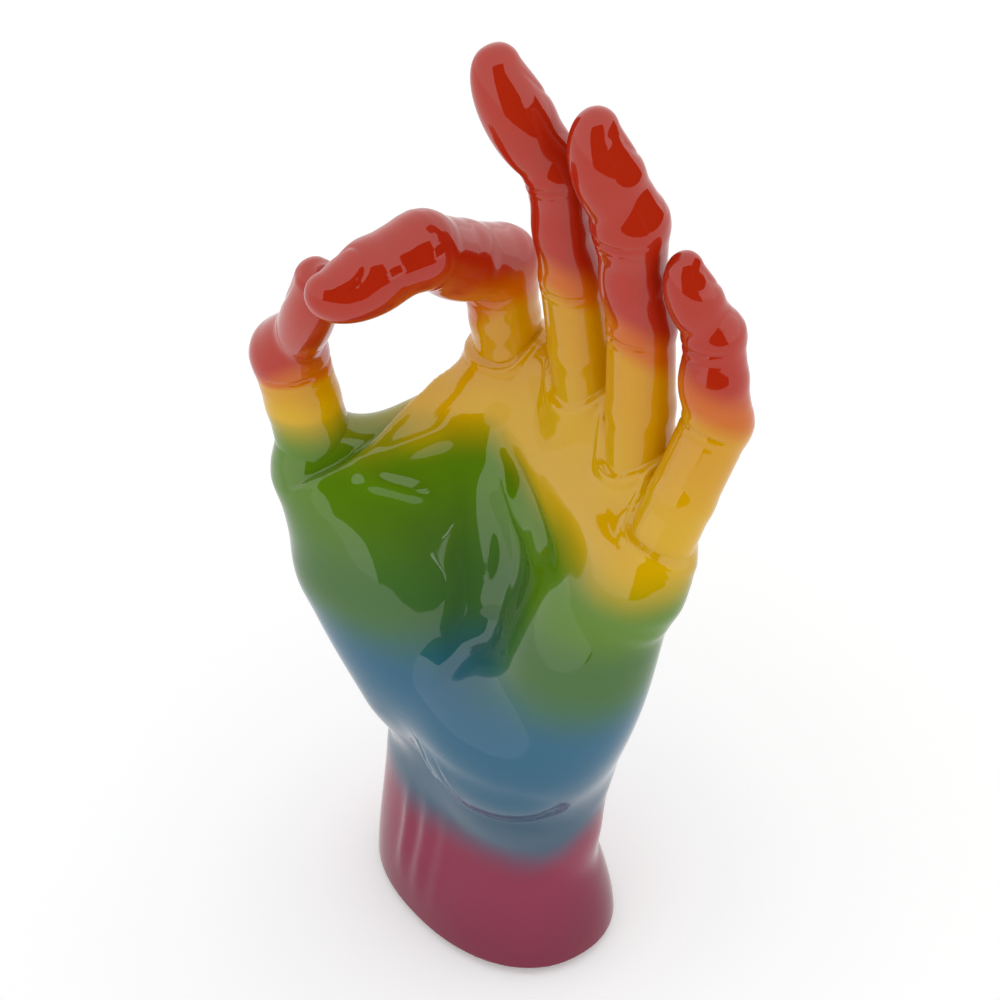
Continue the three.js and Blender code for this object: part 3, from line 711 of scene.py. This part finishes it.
def joint_lines(digit):
    """Creases across the palm side of each joint, and shallow wrinkles on its back."""
    marks = []
    joints, radii = digit["joints"], digit["radii"]
    for i in range(1, len(joints) - 1):
        before, after = unit(joints[i] - joints[i - 1]), unit(joints[i + 1] - joints[i])
        way = unit(before + after)
        palmar = unit(np.cross(digit["hinge"], way))
        for offset, depth, width, side in JOINT_LINES:
            centre = joints[i] + way * offset
            marks.append(joint_line(centre, way, palmar * side, radii[2 * i], depth, width))
    return marks


def joint_line(centre, way, facing, radius, depth, width):
    def mark(p, normals):
        rel = p - centre
        level = rel @ way + JOINT_LINE_BOW * (rel @ np.cross(way, facing)) ** 2
        near = np.linalg.norm(rel, axis=1) < JOINT_LINE_REACH * radius
        turned = np.clip((normals @ facing - JOINT_LINE_END) / JOINT_LINE_FADE, 0, 1)
        return np.where(near, -depth * bell(level, width) * turned, 0)
    return mark


def nail(digit):
    """The nail plate on the back of the last bone, set in a fine groove."""
    joints, radii = digit["joints"], digit["radii"]
    depth = digit["nail"]
    way = unit(joints[-1] - joints[-2])
    back = -unit(np.cross(digit["hinge"], way))
    side = np.cross(way, back)
    length = np.linalg.norm(joints[-1] - joints[-2]) + radii[-1]
    half_length, half_width = NAIL_HALF_LENGTH * length, NAIL_HALF_WIDTH * radii[-2]
    centre = joints[-2] + way * (length - half_length - NAIL_FROM_TIP)

    def mark(p, normals):
        rel = p - centre
        u, v = rel @ way / half_length, rel @ side / half_width
        round_nail = (np.abs(u) ** NAIL_SQUARENESS + np.abs(v) ** NAIL_SQUARENESS) ** (1 / NAIL_SQUARENESS)
        edge = (round_nail - 1) * half_width
        over = np.clip((rel @ back - NAIL_START * radii[-2]) / NAIL_START_FADE, 0, 1)
        near = np.linalg.norm(rel, axis=1) < NAIL_REACH * half_length + radii[-2]
        groove = -depth * bell(edge, NAIL_GROOVE)
        plate = NAIL_PLATE_SHARE * depth * rising(-edge, NAIL_EDGE)
        return np.where(near, (groove + plate) * over, 0)
    return mark


def cast_digit(name, form):
    low, high = (np.array(corner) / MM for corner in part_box(name + "_casting"))
    piece = skin(name + "_finger", form, low - MARGIN_BELOW, high + MARGIN_ABOVE, DIGIT_CELL)
    sculpt(piece, form, joint_lines(DIGITS[name]) + [nail(DIGITS[name])])
    piece.data.materials.append(lacquer)
    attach(piece, "root")
    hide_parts(name + "_casting")


def thumb_form(p):
    return np.maximum(digit_form(thumb)(p), TOUCH_GAP - digit_form(index)(p))


cast_digit("thumb", thumb_form)


# Index casting: three bones in solid resin, pinned into the palm and bent round to the thumb, with the
# nail towards the camera.
cast_digit("index", digit_form(index))


# Middle casting: the longest finger, nearly straight, in solid resin and pinned into the palm. Its end
# turns to the thumb's side.
cast_digit("middle", digit_form(DIGITS["middle"]))


# Ring casting: solid resin, pinned into the palm close beside the middle finger and a little in front
# of it.
cast_digit("ring", digit_form(DIGITS["ring"]))


# Little casting: solid resin, pinned into the palm's edge. It leans away at the root and back at the
# tip.
cast_digit("little", digit_form(DIGITS["little"]))


# Steel pins: five lengths of bright drawn rod, each glued half into the palm and half into its digit.
# They keep their CAD solids, as do the weight, the plate and the felt.
def dress(node_name, material):
    piece = nodes[node_name]
    piece.data.materials.clear()
    piece.data.materials.append(material)


steel, shader, place = new_material("pin steel")
streaks = place.node("ShaderNodeTexNoise", {"Vector": place, "Scale": 900, "Detail": 2})
(0.25 + streaks * 0.2).into(shader, "Roughness")
shader.inputs["Base Color"].default_value = (0.6, 0.61, 0.62, 1)
shader.inputs["Metallic"].default_value = 1
for name in DIGITS:
    dress(name + "_pin", steel)


# Cast weight: plaster and sand, poured into the hollow wrist, so that the hand stands although it
# leans back.
def grainy(name, scale, detail, dark, light, roughness):
    """A dull material in two mixed colours, and its grain for a bump."""
    material, shader, place = new_material(name)
    grains = place.node("ShaderNodeTexNoise", {"Vector": place, "Scale": scale, "Detail": detail})
    tint = grains.between(0.3, 0.7)
    colour = tint.node("ShaderNodeMix", {"Factor": tint, 6: (*dark, 1), 7: (*light, 1)},
                       output=2, data_type="RGBA")
    colour.into(shader, "Base Color")
    shader.inputs["Roughness"].default_value = roughness
    return material, shader, grains


plaster, _, _ = grainy("plaster and sand", 1500, 3, (0.42, 0.40, 0.36), (0.60, 0.58, 0.53), 0.95)
dress("weight", plaster)


# Base plate: an oval of plain fibreboard, sawn to shape and glued in the rebate under the hollow wrist.
board, _, _ = grainy("fibreboard", 700, 4, (0.20, 0.12, 0.06), (0.33, 0.22, 0.12), 0.85)
dress("base_plate", board)


# Felt pad: an oval of dark felt with short dense pile, glued under the wrist to save the shelf.
felt, shader, pile = grainy("felt", 2600, 3, (0.008, 0.008, 0.007), (0.03, 0.03, 0.026), 1)
nap = pile.node("ShaderNodeBump", {"Height": pile, "Strength": 0.5, "Distance": 0.0004})
nap.into(shader, "Normal")
dress("felt_pad", felt)


# Stage: a white floor under a white light tent. The camera sees both a little brighter than they light
# the object, so that the background is white, and the lacquer mirrors the tent brighter still.
FLOOR_SIZE = 6
FLOOR_DROP = 0.0002
FLOOR_WHITE = 0.9
FLOOR_GLOW = 0.17
FLOOR_GLOW_SEEN = 0.06
TENT = 0.9
TENT_SEEN = 0.1
TENT_MIRRORED = 0.5
bpy.ops.mesh.primitive_plane_add(size=FLOOR_SIZE, location=(0, 0, -FLOOR_DROP))
floor = bpy.context.object
floor.name = "floor"
white, shader, place = new_material("white floor")
shader.inputs["Base Color"].default_value = (FLOOR_WHITE, FLOOR_WHITE, FLOOR_WHITE, 1)
shader.inputs["Roughness"].default_value = 0.9
seen = place.node("ShaderNodeLightPath").part("Is Camera Ray")
(FLOOR_GLOW + seen * FLOOR_GLOW_SEEN).into(shader, "Emission Color")
shader.inputs["Emission Strength"].default_value = 1
floor.data.materials.append(white)

world = bpy.data.worlds.new("light tent")
bpy.context.scene.world = world
world.use_nodes = True
tree = world.node_tree
background = tree.nodes["Background"]
rays = Wire(tree, tree.nodes.new("ShaderNodeLightPath").outputs[0])
brightness = TENT + rays.part("Is Camera Ray") * TENT_SEEN + rays.part("Is Glossy Ray") * TENT_MIRRORED
brightness.into(background, "Strength")
background.inputs["Color"].default_value = (1, 1, 1, 1)


# Upright cards that only the lacquer mirrors: the tent's dark opening round the camera, a bright strip
# at its edge, and a small dark card beside the fingers.
def card(name, azimuth, distance, height, size, strength):
    turn = math.radians(azimuth)
    way = Vector((math.sin(turn), -math.cos(turn), 0))
    bpy.ops.mesh.primitive_plane_add(size=1, location=way * distance + Vector((0, 0, height)),
                                     rotation=way.to_track_quat("Z", "Y").to_euler())
    piece = bpy.context.object
    piece.name = name
    piece.scale = (*size, 1)
    material = bpy.data.materials.new(name)
    material.use_nodes = True
    tree = material.node_tree
    shine = tree.nodes.new("ShaderNodeEmission")
    shine.inputs["Strength"].default_value = strength
    tree.links.new(shine.outputs["Emission"], tree.nodes["Material Output"].inputs["Surface"])
    piece.data.materials.append(material)
    piece.visible_camera = False
    piece.visible_diffuse = False
    piece.visible_transmission = False
    piece.visible_shadow = False


card("camera_opening", azimuth=15.5, distance=0.95, height=0.84, size=(1.27, 1.58), strength=0)
card("light_strip", azimuth=47, distance=0.95, height=0.4, size=(0.025, 0.4), strength=3)
card("side_card", azimuth=77, distance=0.087, height=0.221, size=(0.1, 0.05), strength=0)

bpy.context.scene.view_settings.view_transform = "Standard"
